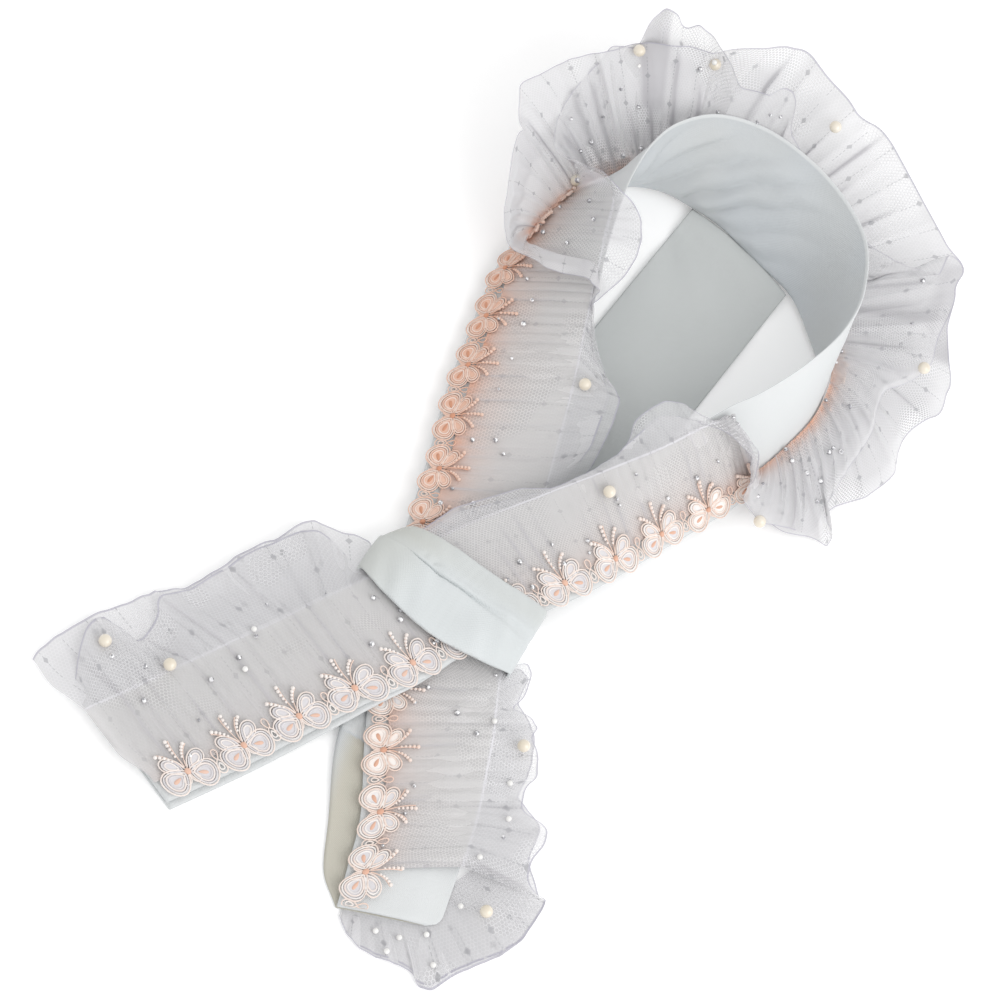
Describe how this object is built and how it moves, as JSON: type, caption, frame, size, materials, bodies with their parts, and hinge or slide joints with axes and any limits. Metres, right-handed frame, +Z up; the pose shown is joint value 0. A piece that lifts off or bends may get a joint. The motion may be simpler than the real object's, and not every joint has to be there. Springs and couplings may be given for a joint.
{
  "type": "detachable kimono collar",
  "caption": "Folded cloth collar band with a standing neck loop, crossed fronts held by a cloth loop, splayed tails, a gathered net ruffle and lace edging.",
  "frame": {"origin": "on the table under the crossing, on the flat underside of the keeper loop", "axes": "+Z up from the table, +Y towards the back of the neck loop, +X across the collar"},
  "size_m": [0.2645, 0.4865, 0.0683],
  "materials": {
    "white_cotton": "plain woven, matte",
    "white_tulle": "sheer hexagonal net",
    "peach_lace": "corded embroidery",
    "cream_pearl": "pearl lustre"
  },
  "bodies": {
    "root": {"collar_band": "white_cotton", "back_panel": "white_cotton", "keeper_loop": "white_cotton", "tulle_ruffle": "white_tulle", "bow_lace": "peach_lace", "pearl_01": "cream_pearl", "pearl_02": "cream_pearl", "pearl_03": "cream_pearl", "pearl_04": "cream_pearl", "pearl_05": "cream_pearl", "pearl_06": "cream_pearl", "pearl_07": "cream_pearl", "pearl_08": "cream_pearl", "pearl_09": "cream_pearl", "pearl_10": "cream_pearl", "pearl_11": "cream_pearl", "pearl_12": "cream_pearl"}
  },
  "joints": []
}
